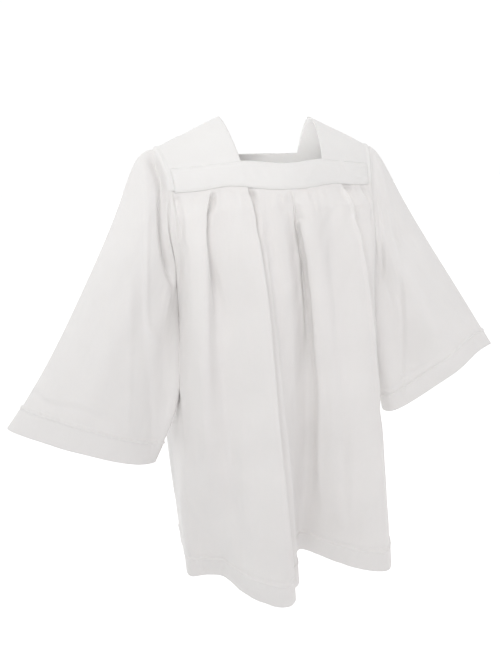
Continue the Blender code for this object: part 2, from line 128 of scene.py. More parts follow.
# Sleeves, given for the wearer's left one
CUFF_TOP = (0.493, -0.092, -0.472)
CUFF_UNDER = (0.258, -0.042, -0.613)
CUFF_HALF_DEPTH = 0.056
CUFF_LENS = 1.25
CUFF_TAPER = 0.18
PUFF_AT = 0.08
SLEEVE_COLUMNS = 200
SLEEVE_ROWS = (26, 70, 8)
SLEEVE_PLACES = np.arange(SLEEVE_COLUMNS) / SLEEVE_COLUMNS
CUFF_ROWS = (16, 8)
SLEEVE_GIRTH = 0.65
# Widths round the sleeve, as shares of its girth
TOP_WIDTH = 0.16
SAG_WIDTH = 0.13
UNDER_WIDTH = 0.09
EASED_WIDTH = 0.20
# Ways in which the cloth swells beside the arm and sags along it
SIDE_PUFF = (0.0, 0.004, 0.002)
SAG_WAY = (-0.8, 0.0, -0.5)
# A crease that runs aslant is narrower than its distance along the arm
CREASE_SLANT = 0.75

# Folds of the body from right to left, ridges and valleys, each a line down the cloth
# seam x, seam y, chest x, chest y, hip x, hip y, hem x, hem y
FRONT_FOLDS = (
    (-0.190, -0.055, -0.184, -0.068, -0.211, -0.048, -0.206, -0.040),
    (-0.165, -0.064, -0.171, -0.090, -0.192, -0.082, -0.172, -0.049),
    (-0.136, -0.074, -0.151, -0.103, -0.162, -0.102, -0.142, -0.066),
    (-0.124, -0.077, -0.136, -0.089, -0.128, -0.104, -0.124, -0.109),
    (-0.095, -0.087, -0.100, -0.100, -0.085, -0.126, -0.090, -0.164),
    (-0.067, -0.093, -0.058, -0.116, -0.040, -0.149, -0.044, -0.193),
    (-0.048, -0.093, -0.038, -0.100, -0.014, -0.120, -0.004, -0.152),
    (-0.018, -0.099, -0.006, -0.103, 0.016, -0.092, 0.014, -0.092),
    (0.004, -0.098, 0.026, -0.087, 0.050, -0.073, 0.042, -0.056),
    (0.015, -0.100, 0.037, -0.113, 0.074, -0.108, 0.086, -0.102),
    (0.070, -0.094, 0.090, -0.101, 0.125, -0.128, 0.128, -0.151),
    (0.124, -0.079, 0.146, -0.097, 0.185, -0.127, 0.194, -0.184),
    (0.150, -0.069, 0.176, -0.077, 0.209, -0.088, 0.222, -0.148),
    (0.190, -0.055, 0.199, -0.066, 0.204, -0.054, 0.226, -0.082),
)
BACK_FOLDS = (
    (-0.190, 0.060, -0.185, 0.068, -0.214, 0.062, -0.197, 0.084),
    (-0.152, 0.070, -0.158, 0.096, -0.178, 0.112, -0.162, 0.138),
    (-0.118, 0.076, -0.120, 0.082, -0.124, 0.086, -0.112, 0.088),
    (-0.084, 0.081, -0.084, 0.110, -0.082, 0.144, -0.074, 0.176),
    (-0.038, 0.084, -0.036, 0.090, -0.030, 0.098, -0.020, 0.098),
    (0.004, 0.085, 0.010, 0.108, 0.018, 0.132, 0.026, 0.158),
    (0.040, 0.084, 0.046, 0.090, 0.058, 0.094, 0.066, 0.092),
    (0.092, 0.079, 0.106, 0.108, 0.118, 0.140, 0.128, 0.180),
    (0.134, 0.073, 0.148, 0.079, 0.164, 0.084, 0.176, 0.094),
    (0.165, 0.067, 0.180, 0.084, 0.192, 0.092, 0.204, 0.112),
    (0.190, 0.060, 0.201, 0.066, 0.206, 0.050, 0.220, 0.060),
)
# hip x, hip y, hem x, hem y of each side seam
SIDE_SEAMS = {"right": (-0.216, 0.010, -0.201, 0.022), "left": (0.206, 0.006, 0.221, 0.006)}
# Depths below the yoke seam at which the lines of the next tables are given
LINE_DEPTHS = (0.0, 0.04, 0.10, 0.20, 0.40, 0.79)
# Folded edges of the body's cloth, each with its lower side to the wearer's left (1) or right (-1).
# lower side, height, width of the hollow beside it, from depth, to depth, x at each line depth
FRONT_PLEATS = (
    (1, 0.0060, 0.010, -0.02, 0.17, -0.189, -0.188, -0.189, -0.188, -0.189, -0.190),
    (-1, 0.0024, 0.008, 0.00, 0.05, -0.160, -0.147, -0.140, -0.140, -0.140, -0.140),
    (1, 0.0120, 0.009, 0.002, 0.23, -0.125, -0.142, -0.148, -0.140, -0.133, -0.135),
    (-1, 0.0050, 0.020, 0.24, 0.66, -0.190, -0.192, -0.196, -0.199, -0.205, -0.206),
    (1, 0.0140, 0.008, -0.02, 0.90, -0.069, -0.063, -0.058, -0.050, -0.041, -0.023),
    (-1, 0.0020, 0.003, -0.01, 0.66, 0.004, 0.0155, 0.0280, 0.0425, 0.061, 0.068),
    (-1, 0.0016, 0.005, 0.07, 0.70, 0.004, 0.0155, 0.0280, 0.0425, 0.061, 0.068),
    (1, 0.0090, 0.010, -0.01, 0.50, 0.118, 0.136, 0.150, 0.166, 0.188, 0.210),
    (1, 0.0070, 0.009, -0.01, 0.16, 0.162, 0.184, 0.190, 0.192, 0.195, 0.200),
)
BACK_PLEATS = (
    (-1, 0.0030, 0.012, -0.02, 0.12, 0.188, 0.190, 0.193, 0.196, 0.198, 0.200),
    (-1, 0.0060, 0.018, 0.00, 0.30, 0.110, 0.116, 0.122, 0.126, 0.130, 0.136),
    (1, 0.0070, 0.018, 0.00, 0.34, 0.016, 0.022, 0.028, 0.032, 0.036, 0.044),
    (-1, 0.0065, 0.018, 0.00, 0.32, -0.070, -0.074, -0.078, -0.080, -0.078, -0.072),
    (1, 0.0050, 0.016, 0.00, 0.28, -0.146, -0.150, -0.154, -0.160, -0.168, -0.160),
)
# Soft creases of the body: half width, height, from depth, to depth, x at each line depth
FRONT_CREASES = (
    (0.010, 0.0035, 0.22, 0.62, -0.170, -0.172, -0.172, -0.172, -0.168, -0.160),
    (0.016, -0.0050, 0.22, 0.78, -0.128, -0.140, -0.148, -0.140, -0.132, -0.112),
    (0.005, 0.0014, 0.00, 0.10, -0.100, -0.104, -0.106, -0.106, -0.104, -0.100),
    (0.006, 0.0014, 0.01, 0.16, -0.084, -0.082, -0.080, -0.078, -0.074, -0.070),
    (0.005, -0.0018, 0.00, 0.10, -0.058, -0.052, -0.046, -0.040, -0.034, -0.030),
    (0.007, 0.0020, 0.01, 0.22, -0.034, -0.028, -0.020, -0.008, 0.006, 0.012),
    (0.005, -0.0014, 0.00, 0.12, -0.018, -0.010, 0.000, 0.010, 0.020, 0.024),
    (0.007, 0.0036, 0.02, 0.34, -0.005, 0.006, 0.019, 0.033, 0.051, 0.060),
    (0.008, 0.0076, 0.05, 0.66, 0.010, 0.0215, 0.0340, 0.0485, 0.067, 0.076),
    (0.005, 0.0060, 0.00, 0.50, 0.113, 0.131, 0.145, 0.161, 0.183, 0.205),
    (0.012, -0.0120, -0.01, 0.42, 0.130, 0.148, 0.163, 0.179, 0.200, 0.215),
    (0.006, 0.0016, 0.00, 0.14, 0.030, 0.040, 0.050, 0.062, 0.076, 0.080),
    (0.012, -0.0034, 0.08, 0.74, 0.060, 0.068, 0.078, 0.088, 0.104, 0.118),
    (0.006, 0.0014, 0.00, 0.09, 0.088, 0.092, 0.098, 0.104, 0.110, 0.118),
    (0.008, -0.0024, 0.20, 0.70, 0.160, 0.164, 0.170, 0.178, 0.192, 0.206),
)
# Faint straight creases left by packing. x and depth of one end, then of the other
FRONT_PRESSED = (
    (0.097, 0.478, 0.214, 0.526),
    (0.141, 0.567, 0.190, 0.565),
    (-0.100, 0.512, -0.040, 0.494),
    (-0.150, 0.300, -0.060, 0.286),
)
BACK_PRESSED = (
    (-0.150, 0.290, 0.010, 0.284),
    (0.020, 0.520, 0.170, 0.530),
    (-0.160, 0.540, -0.060, 0.534),
)
BACK_CREASES = (
    (0.008, 0.0022, 0.02, 0.45, -0.168, -0.172, -0.176, -0.180, -0.190, -0.182),
    (0.007, -0.0020, 0.02, 0.60, -0.104, -0.106, -0.106, -0.108, -0.110, -0.104),
    (0.008, 0.0020, 0.00, 0.30, -0.052, -0.050, -0.048, -0.046, -0.044, -0.040),
    (0.012, -0.0030, 0.10, 0.76, -0.012, -0.010, -0.006, -0.002, 0.004, 0.008),
    (0.007, 0.0022, 0.02, 0.42, 0.066, 0.070, 0.074, 0.078, 0.084, 0.092),
    (0.008, -0.0024, 0.05, 0.66, 0.140, 0.146, 0.150, 0.156, 0.164, 0.174),
    (0.006, 0.0016, 0.00, 0.22, 0.162, 0.168, 0.174, 0.180, 0.188, 0.196),
)
# side, place round the sleeve (0 top, 0.25 front, 0.5 under), width, and height at head, middle and cuff
SLEEVE_FOLDS = (
    ("right", 0.20, 0.045, 0.002, 0.006, 0.004),
    ("right", 0.31, 0.050, 0.001, 0.003, 0.002),
    ("right", 0.41, 0.050, 0.001, 0.003, 0.001),
    ("right", 0.455, 0.035, 0.000, 0.017, 0.002),
    ("right", 0.66, 0.050, -0.003, -0.010, -0.007),
    ("right", 0.80, 0.050, 0.003, 0.007, 0.005),
    ("left", 0.15, 0.045, -0.003, -0.004, -0.003),
    ("left", 0.24, 0.045, 0.004, 0.006, 0.006),
    ("left", 0.34, 0.045, -0.002, -0.003, -0.004),
    ("left", 0.43, 0.040, 0.003, 0.007, 0.007),
    ("left", 0.67, 0.050, -0.003, -0.009, -0.006),
    ("left", 0.82, 0.050, 0.003, 0.008, 0.005),
)
# Creases of the sleeves: side, half width in metres, height, then points of the line, each given by its
# place round the sleeve and its share of the sleeve's length
SLEEVE_CREASES = (
    ("right", 0.0095, -0.0165, (0.05, 0.008), (0.11, 0.014), (0.17, 0.042), (0.22, 0.058), (0.27, 0.068)),
    ("right", 0.009, 0.0024, (0.04, 0.060), (0.10, 0.100), (0.16, 0.170), (0.22, 0.260), (0.28, 0.380)),
    ("right", 0.016, -0.0014, (0.20, 0.300), (0.27, 0.420), (0.33, 0.560), (0.37, 0.700), (0.40, 0.860)),
    ("right", 0.012, 0.0012, (0.17, 0.340), (0.22, 0.430), (0.26, 0.560), (0.29, 0.700), (0.31, 0.840)),
    ("left", 0.008, -0.0034, (0.06, 0.020), (0.13, 0.035), (0.20, 0.055), (0.26, 0.090), (0.31, 0.140)),
    ("left", 0.016, 0.0050, (0.26, 0.030), (0.32, 0.030), (0.38, 0.030), (0.44, 0.030)),
    ("left", 0.010, 0.0020, (0.05, 0.060), (0.12, 0.130), (0.19, 0.200), (0.25, 0.330), (0.30, 0.500)),
    ("left", 0.014, -0.0030, (0.24, 0.300), (0.30, 0.430), (0.34, 0.600), (0.37, 0.740), (0.39, 0.900)),
)
# Creases over the cuffs: side, half width in metres, height, from place, to place, distance from the cuff
CUFF_CREASES = (
    ("right", 0.0035, 0.0013, 0.00, 0.28, 0.074),
    ("right", 0.0060, -0.0012, 0.00, 0.24, 0.064),
    ("left", 0.0035, 0.0010, 0.26, 0.44, 0.062),
    ("left", 0.0040, -0.0010, 0.30, 0.46, 0.053),
)
ARM_SAG = {"right": 0.009, "left": -0.002}
SAG_TURN = 2.2
CUFF_LIFT = {"right": 0.009, "left": 0.033}
PUFF = {"right": 0.011, "left": 0.004}
HEAD_LIFT = {"right": 0.010, "left": 0.009}
UNDER_SAG = {"right": 0.013, "left": 0.017}

# The camera that the photograph's corners give: place, its right and up directions, and its lens
EYE = (-0.3827, -0.9239, -0.0800)
EYE_RIGHT = (0.9345, -0.3550, -0.0265)
EYE_UP = (0.1345, 0.2831, 0.9496)
LENS_MM = 27.9

# name, place, the point that it faces, size, power, colour and spread in degrees of each lamp
LAMPS = (
    ("key", (-0.90, -1.2, 0.85), (0, -0.05, -0.05), 0.7, 2.8, (1.0, 0.99, 0.975), 100),
    ("fill", (0.8, -2.1, -0.6), (0.15, -0.02, -0.7), 1.6, 4.0, (1.0, 0.90, 0.915), 180),
    ("neck_lamp", (-0.01, -0.03, -0.17), (0.086, -0.035, -0.02), 0.1, 0.085, (1.0, 1.0, 1.0), 115),
)
FLOOR_Z = -1.46
FLOOR_SIZE = 60
# Glow of the floor, which is painted light, and of the surround: its first place, its last one, and the
# strength at each. The floor's place is y and a share of x, the surround's is the y of the direction.
FLOOR_GLOW = (-0.30, 0.12, 0.0, 0.45)
FLOOR_SLANT = 0.4
SURROUND_GLOW = (-0.45, 0.45, 0.68, 1.02)

# Linear base colours, and scales of the weave
YOKE_WHITE = (0.85, 0.843, 0.835)
BODY_WHITE = (0.84, 0.825, 0.816)
SLEEVE_WHITE = (0.84, 0.828, 0.82)
THREAD_WHITE = (0.88, 0.875, 0.865)
BRIGHTEST = 0.9
YARN_SCALE = 620
SLUB_SCALE = 90
SLUB_LENGTH = 14
CREASING_SCALE = 26
MOTTLE_SCALE = 9
TWIST_SCALE = 900


# Curves and surfaces


def unit(vectors):
    return vectors / np.linalg.norm(vectors, axis=-1, keepdims=True)


def bell(distance, width):
    return np.exp(-((distance / width) ** 2))


def ease(value):
    value = np.clip(value, 0, 1)
    return value * value * (3 - 2 * value)


def hermite(start, end, start_slope, end_slope, t):
    return (
        start * (2 * t**3 - 3 * t**2 + 1)
        + end * (3 * t**2 - 2 * t**3)
        + start_slope * (t**3 - 2 * t**2 + t)
        + end_slope * (t**3 - t**2)
    )


def slopes_along(points, steps):
    """Slopes at each point of a row, weighted by the steps on its two sides."""
    rates = np.diff(points, axis=0) / steps[:, None]
    slopes = np.empty_like(points)
    slopes[0], slopes[-1] = rates[0], rates[-1]
    before, after = steps[:-1, None], steps[1:, None]
    slopes[1:-1] = (rates[:-1] * after + rates[1:] * before) / (before + after)
    return slopes


def smooth_path(points, cells):
    """A smooth curve through the points, with cells[k] equal steps between points k and k + 1."""
    chords = np.linalg.norm(np.diff(points, axis=0), axis=1)
    slopes = slopes_along(points, chords)
    found = []
    for k, steps in enumerate(cells):
        t = np.arange(steps)[:, None] / steps
        found.append(hermite(points[k], points[k + 1], slopes[k] * chords[k], slopes[k + 1] * chords[k], t))
    found.append(points[-1:])
    return np.concatenate(found)


def down_the_fold(levels, places, z):
    """Plan position at height z of a line given at several levels, smoothly between them."""
    levels, places = np.asarray(levels), np.asarray(places)
    drops = levels[:-1] - levels[1:]
    slopes = slopes_along(places, drops)
    k = int(np.clip(np.searchsorted(-levels, -z) - 1, 0, len(drops) - 1))
    t = (levels[k] - z) / drops[k]
    return hermite(places[k], places[k + 1], slopes[k] * drops[k], slopes[k + 1] * drops[k], t)


def normals_of(grid, ring=False):
    """Unit normals of a grid whose rows run down. They face out where columns run towards the right hand."""
    if ring:
        across_step = np.roll(grid, -1, axis=1) - np.roll(grid, 1, axis=1)
    else:
        across_step = np.gradient(grid, axis=1)
    return unit(np.cross(np.gradient(grid, axis=0), across_step))


def distances(points):
    """Distance of each point of a row from the first, along the row."""
    return np.concatenate([[0], np.cumsum(np.linalg.norm(np.diff(points, axis=0), axis=1))])


def points_at(at, run, points):
    """The points at the given distances along a row of points, whose own distances are run."""
    return np.stack([np.interp(at, run, points[:, k]) for k in range(3)], axis=-1)


def distance_at(x, run, points):
    """The distance at which a row of points, whose distances are run, passes x."""
    return np.interp(x, np.maximum.accumulate(points[:, 0]), run)


def even_steps(stops, counts):
    """Rising values with counts[k] even ones from stop k to stop k + 1, both counted."""
    parts = [np.linspace(*stretch) for stretch in zip(stops, stops[1:], counts)]
    return np.concatenate([parts[0], *[part[1:] for part in parts[1:]]])


def run_across(grid):
    """Distance along each row from its first point."""
    steps = np.linalg.norm(np.diff(grid, axis=1), axis=2)
    return np.concatenate([np.zeros((len(grid), 1)), np.cumsum(steps, axis=1)], axis=1)


def run_down(grid):
    """Distance down each column from its first point."""
    steps = np.linalg.norm(np.diff(grid, axis=0), axis=2)
    return np.concatenate([np.zeros((1, grid.shape[1])), np.cumsum(steps, axis=0)])


def crumple(across_m, down_m, seed, wide, tall, waves=16):
    """Soft random waves about wide metres across and tall metres down, from about -2 to 2."""
    rng = np.random.default_rng(seed)
    total = np.zeros(np.broadcast(across_m, down_m).shape)
    for _ in range(waves):
        u = rng.uniform(0.5, 1.5) / wide
        v = rng.normal(0, 1) / tall
        total += np.sin(2 * math.pi * (u * across_m + v * down_m + rng.uniform()))
    return total / math.sqrt(waves)


def across(x):
    """0 in the middle of the chest and 1 at the band's end, round in the middle."""
    soft = 0.2
    return (np.sqrt((x / BAND_HALF) ** 2 + soft**2) - soft) / (math.sqrt(1 + soft**2) - soft)


def front_seam(x):
    """The line across the chest where the yoke ends and the gathered front begins."""
    rise = np.where(x < 0, SEAM_RISE["right"], SEAM_RISE["left"]) * bell(np.abs(x) - 0.095, 0.045)
    return np.stack([x, -0.100 + 0.048 * across(x), SEAM_EDGE_Z + rise], axis=-1)


def back_seam(x):
    return np.stack([x, 0.086 - 0.026 * across(x), -0.123 + 0.002 * across(x)], axis=-1)


def front_neck_z(x):
    """Height of the band's top edge, which is also the front edge of the neck opening."""
    side = np.clip((np.abs(x) - NECK_FRONT_X) / (ARMHOLE_X - NECK_FRONT_X), 0, 1)
    middle = np.clip(1 - np.abs(x) / NECK_FRONT_X, 0, 1)
    return -0.0750 - 0.0105 * side**0.8 - 0.0055 * np.sin(middle * math.pi / 2) ** 2


def back_neck_z(x):
    side = np.clip((np.abs(x) - NECK_BACK_X) / (ARMHOLE_X - NECK_BACK_X), 0, 1)
    return NECK_BACK_Z - 0.012 * side


def yoke_columns(neck_x):
    """Places across the yoke, from the right armhole to the left, at its lower seam and on the shoulder."""
    edge = np.linspace(ARMHOLE_X - 0.0006, BAND_HALF, EDGE_COLUMNS)[:-1]
    strap = np.concatenate([[ARMHOLE_X], edge, np.linspace(BAND_HALF, neck_x, STRAP_CELLS)])
    neck = np.linspace(-neck_x, neck_x, NECK_CELLS + 1)[1:-1]
    low = np.concatenate([-strap, neck, strap[::-1]])
    share = (strap - neck_x) / (ARMHOLE_X - neck_x)
    high_strap = NECK_TOP_X + (TIP[0] - NECK_TOP_X) * share
    high = np.concatenate([-high_strap, neck * NECK_TOP_X / neck_x, high_strap[::-1]])
    return low, high


def shoulder_line(x):
    """The yoke's highest line, over the shoulder from neck to sleeve."""
    share = np.clip((np.abs(x) - NECK_TOP_X) / (TIP[0] - NECK_TOP_X), 0, 1)
    return np.stack([x, RIDGE_Y + (TIP[1] - RIDGE_Y) * share, TIP[2] * share], axis=-1)


def yoke_surface(seam, neck_z, low, high):
    """Rows from the shoulder line down to the seam. Row STRAP_ROWS runs along the neck's lower edge."""
    top = shoulder_line(high)
    bottom = seam(low)
    drop = top[:, 2] - bottom[:, 2]
    reach = bottom[:, 1] - top[:, 1]
    turn_at = np.clip((neck_z(low) - bottom[:, 2]) / drop, 0, 1)
    turn_at = np.arccos(turn_at ** (YOKE_CURVE / 2))
    bend = 1 + ARMHOLE_BEND * np.clip((np.abs(high) - NECK_TOP_X) / (TIP[0] - NECK_TOP_X), 0, 1)
    rows = []
    for j in range(STRAP_ROWS + CHEST_ROWS + 1):
        if j <= STRAP_ROWS:
            angle = turn_at * (j / STRAP_ROWS)
        else:
            angle = turn_at + (math.pi / 2 - turn_at) * (j - STRAP_ROWS) / CHEST_ROWS
        height = np.cos(angle) ** (2 / YOKE_CURVE)
        out = np.sin(angle) ** (2 / YOKE_CURVE)
        x = top[:, 0] + (bottom[:, 0] - top[:, 0]) * (1 - height**bend)
        rows.append(np.stack([x, top[:, 1] + reach * out, bottom[:, 2] + drop * height], axis=-1))
    return np.array(rows)


def armhole(side, z, seam_y):
    """Plan position of an armhole's edge at height z, as if on the left, down to the underarm."""
    depth = SEAM_EDGE_Z - z
    share = np.clip(depth / (SEAM_EDGE_Z - UNDERARM_Z), 0, 1)
    x = ARMHOLE_X + (UNDERARM_X[side] - ARMHOLE_X) * ease(1.5 * share)
    x = x + ARMHOLE_SWELL[side] * np.sin(math.pi * np.clip(depth / ARMHOLE_SWELL_DEPTH, 0, 1)) ** 2
    return x, UNDERARM_Y + (seam_y - UNDERARM_Y) * np.cos(share * math.pi / 2)


def body_edge(side, z, seam_y):
    """Plan position of a body panel's edge: round the armhole, then down the side seam."""
    hip_x, hip_y, hem_x, hem_y = SIDE_SEAMS[side]
    sign = 1 if side == "left" else -1
    if z >= UNDERARM_Z:
        x, y = armhole(side, z, seam_y)
        return np.array([sign * x, y])
    levels = (UNDERARM_Z, HIP_Z, HEM_Z)
    places = ((sign * UNDERARM_X[side], UNDERARM_Y), (hip_x, hip_y), (hem_x, hem_y))
    return down_the_fold(levels, places, z)


# Meshes


def put_in_scene(name, data):
    made = bpy.data.objects.new(name, data)
    bpy.context.scene.collection.objects.link(made)
    return made


def new_object(name, verts, faces, material):
    data = bpy.data.meshes.new(name)
    data.from_pydata(verts, [], faces)
    data.materials.append(material)
    data.shade_smooth()
    return put_in_scene(name, data)


def lay_cloth(name, grid, surface, slot, thickness, ring=False, flip=False, cells=None):
    """A thin cloth piece over a grid of points. Its weave is laid out in metres along the surface's grid."""
    rows, columns = grid.shape[:2]
    j, i = np.meshgrid(np.arange(rows - 1), np.arange(columns if ring else columns - 1), indexing="ij")
    if cells is not None:
        j, i = j[cells], i[cells]
    j, i = j.ravel(), i.ravel()
    loop = [(j, i), (j + 1, i), (j + 1, i + 1), (j, i + 1)]
    if flip:
        loop = loop[::-1]
    faces = np.stack([a * columns + b % columns for a, b in loop], axis=1)
    if ring:
        surface = np.concatenate([surface, surface[:, :1]], axis=1)
    spread = np.stack([run_across(surface), run_down(surface)], axis=-1)
    layout = np.stack([spread[a, b] for a, b in loop], axis=1)
    used, faces = np.unique(faces, return_inverse=True)
    piece = new_object(name, grid.reshape(-1, 3)[used].tolist(), faces.reshape(-1, 4).tolist(), poplins[slot])
    piece.data.uv_layers.new(name="cloth").data.foreach_set("uv", layout.astype(np.float32).ravel())
    wall = piece.modifiers.new("poplin", "SOLIDIFY")
    wall.thickness = thickness
    wall.offset = -1
    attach(piece, "root")
    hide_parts(name)
    return piece


def thread(name, lines):
    """A piece made of the stitches that show along the given (points, normals) lines."""
    verts, faces = [], []
    for points, normals in lines:
        run = distances(points)
        count = int((run[-1] - STITCH_LENGTH) / STITCH_PITCH)
        start = (run[-1] - count * STITCH_PITCH) / 2
        for k in range(count):
            at = start + k * STITCH_PITCH
            a, b = points_at(at, run, points), points_at(at + STITCH_LENGTH, run, points)
            up = unit(points_at(at + 0.5 * STITCH_LENGTH, run, normals))
            side = np.cross(unit(b - a), up)
            base = len(verts)
            verts.append(a - up * THREAD_SUNK)
            for share, lift in ((0.18, 0.0001), (0.5, THREAD_LIFT), (0.82, 0.0001)):
                middle = a + (b - a) * share + up * lift
                verts += [middle + side * THREAD_RADIUS, middle + up * THREAD_RADIUS]
                verts += [middle - side * THREAD_RADIUS, middle - up * THREAD_RADIUS]
            verts.append(b - up * THREAD_SUNK)
            for n in range(4):
                o = (n + 1) % 4
                faces.append((base, base + 1 + o, base + 1 + n))
                for r in (1, 5):
                    faces.append((base + r + n, base + r + o, base + r + 4 + o, base + r + 4 + n))
                faces.append((base + 9 + n, base + 9 + o, base + 13))
    piece = new_object(name, [tuple(v) for v in verts], faces, thread_material)
    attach(piece, "root")
    return piece


def turned_up(grid, outward, hem_rows):
    """The grid with its last hem_rows rows folded up inside, round the edge and up to the hem's stitches."""
    edge, facing = grid[-1], outward[-1]
    below = unit(grid[-1] - grid[-2])
    radius = (FOLD_GAP + POPLIN) / 2
    bend = [
        edge - facing * radius * (1 - math.cos(turn)) + below * radius * math.sin(turn)
        for turn in (math.pi / 4, math.pi / 2, 3 * math.pi / 4)
    ]
    inside = (grid - outward * 2 * radius)[-hem_rows:][::-1][::2]
    return np.concatenate([grid, bend, inside])


def seam_groove(distance):
    """How far a panel rolls in where it is sewn, at this distance from the seam."""
    return -SEAM_ROLL * bell(distance, SEAM_ROLL_WIDTH)


def seam_strip(distance):
    """The seam allowance that lies under a panel beside an armhole and lifts it a little."""
    return SEAM_STRIP * bell(distance - SEAM_STRIP_AT, SEAM_STRIP_WIDTH)


def hem_relief(past, wobble, groove):
    """The doubled hem stands proud, with a ridge at its stitched edge and a groove over it.

    past is the distance from the stitches towards the cloth's edge.
    """
    proud = HEM_PROUD * ease(past / 0.0030)
    ridge = HEM_RIDGE * bell(past - 0.0022, 0.0020) * (1 + 0.3 * wobble)
    return proud + ridge - groove * bell(past + 0.0038, 0.0036) + HEM_WAVES * bell(past - 0.002, 0.012) * wobble


def ledge(distance, height, hollow):
    """A folded edge: the cloth drops by height where distance passes 0, and comes back past the hollow."""
    return -height * ease(distance / PLEAT_EDGE + 0.5) * (1 - ease(distance / hollow - 0.5))


def between(depth, begin, end, fade_in=FADE_IN):
    """1 between two depths and 0 beyond them, with soft ends."""
    return ease((depth - begin) / fade_in) * ease((end - depth) / FADE_OUT)


def tucked_in(grid, outward, turns):
    """The grid with seam allowances turned inside along some edges, each with a tight fold.

    turns are the quarter turns that bring each edge to the top: 0, -1 for the first column, 1 for the last.
    """
    for turn in turns:
        grid, outward = np.rot90(grid, turn), np.rot90(outward, turn)
        tight = grid[:1] + (grid[1:2] - grid[:1]) * 0.15
        grid = np.concatenate([grid[:1] - outward[:1] * SEAM_ALLOWANCE, grid[:1], tight, grid[1:]])
        outward = np.concatenate([outward[:1], outward[:1], outward])
        grid, outward = np.rot90(grid, -turn), np.rot90(outward, -turn)
    return grid


# Materials


def set_inputs(tree, node, values):
    """Sets inputs, by name or number, to a plain value or to another node's output."""
    for key, value in values.items():
        if isinstance(value, bpy.types.NodeSocket):
            tree.links.new(value, node.inputs[key])
        else:
            node.inputs[key].default_value = value


def add_node(tree, kind, values):
    node = tree.nodes.new("ShaderNode" + kind)
    set_inputs(tree, node, values)
    return node


def new_material(name):
    material = bpy.data.materials.new(name)
    material.use_nodes = True
    return material, material.node_tree, material.node_tree.nodes["Principled BSDF"]


def colour_ramp(tree, value, dark, light, begin=0.0, end=1.0):
    """A colour that goes from dark to light while value goes from begin to end."""
    node = add_node(tree, "ValToRGB", {"Fac": value})
    for element, place, colour in zip(node.color_ramp.elements, (begin, end), (dark, light)):
        element.position = place
        element.color = (*colour, 1)
    return node.outputs["Color"]


def poplin_material(name, colour, seed):
    """White poly-cotton poplin: a fine even weave with slubs, slight creasing, and a soft sheen."""
    material, tree, shader = new_material(name)
    cloth = tree.nodes.new("ShaderNodeUVMap")
    cloth.uv_map = "cloth"
    laid = cloth.outputs[0]

    def math_node(kind, a, b):
        node = tree.nodes.new("ShaderNodeMath")
        node.operation = kind
        set_inputs(tree, node, {0: a, 1: b})
        return node.outputs[0]

    def blend(*parts):
        """The sum of some values, each times its weight."""
        scaled = [math_node("MULTIPLY", value, weight) for value, weight in parts]
        total = scaled[0]
        for value in scaled[1:]:
            total = math_node("ADD", total, value)
        return total

    def noise(vector, scale, detail, stretch=(1, 1, 1)):
        spread = {"Vector": vector, "Scale": stretch, "Location": (seed, seed * 0.7, 0)}
        moved = add_node(tree, "Mapping", spread).outputs[0]
        return add_node(tree, "TexNoise", {"Vector": moved, "Scale": scale, "Detail": detail}).outputs["Fac"]

    def yarns(direction):
        wave = add_node(tree, "TexWave", {"Vector": laid, "Scale": YARN_SCALE, "Distortion": 0.5, "Detail": 1})
        wave.bands_direction = direction
        return wave.outputs["Fac"]

    weave = blend((yarns("X"), 0.5), (yarns("Y"), 0.5))
    warp_slubs = noise(laid, SLUB_SCALE, 2, (SLUB_LENGTH, 1, 1))
    weft_slubs = noise(laid, SLUB_SCALE, 2, (1, SLUB_LENGTH, 1))
    slubs = blend((warp_slubs, 0.5), (weft_slubs, 0.5))
    mottle = noise(add_node(tree, "TexCoord", {}).outputs["Object"], MOTTLE_SCALE, 3)
    tone = blend((weave, 0.16), (slubs, 0.40), (mottle, 0.55))
    dark = [c * 0.94 for c in colour]
    light = [min(c * 1.03, BRIGHTEST) for c in colour]
    yarn_height = math_node("ADD", weave, slubs)
    fine = add_node(tree, "Bump", {"Strength": 0.35, "Distance": 0.00015, "Height": yarn_height})
    creasing = noise(laid, CREASING_SCALE, 3, (1, 0.45, 1))
    soft = {"Strength": 0.16, "Distance": 0.0016, "Height": creasing, "Normal": fine.outputs["Normal"]}
    looks = {
        "Base Color": colour_ramp(tree, tone, dark, light, 0.30, 0.85),
        "Roughness": math_node("ADD", math_node("MULTIPLY", slubs, 0.16), 0.72),
        "Normal": add_node(tree, "Bump", soft).outputs["Normal"],
        "Sheen Weight": 0.12,
        "Sheen Roughness": 0.45,
        "Specular IOR Level": 0.28,
        "Subsurface Weight": 0.15,
        "Subsurface Radius": (1.0, 0.95, 0.9),
        "Subsurface Scale": 0.0006,
    }
    set_inputs(tree, shader, looks)
    return material


def plain_thread(name, colour):
    """Twisted polyester sewing thread."""
    material, tree, shader = new_material(name)
    place = add_node(tree, "TexCoord", {}).outputs["Object"]
    twist = add_node(tree, "TexNoise", {"Vector": place, "Scale": TWIST_SCALE})
    shade = colour_ramp(tree, twist.outputs["Fac"], [c * 0.9 for c in colour], colour)
    set_inputs(tree, shader, {"Base Color": shade, "Roughness": 0.55, "Sheen Weight": 0.2})
    return material


# The garment's pieces


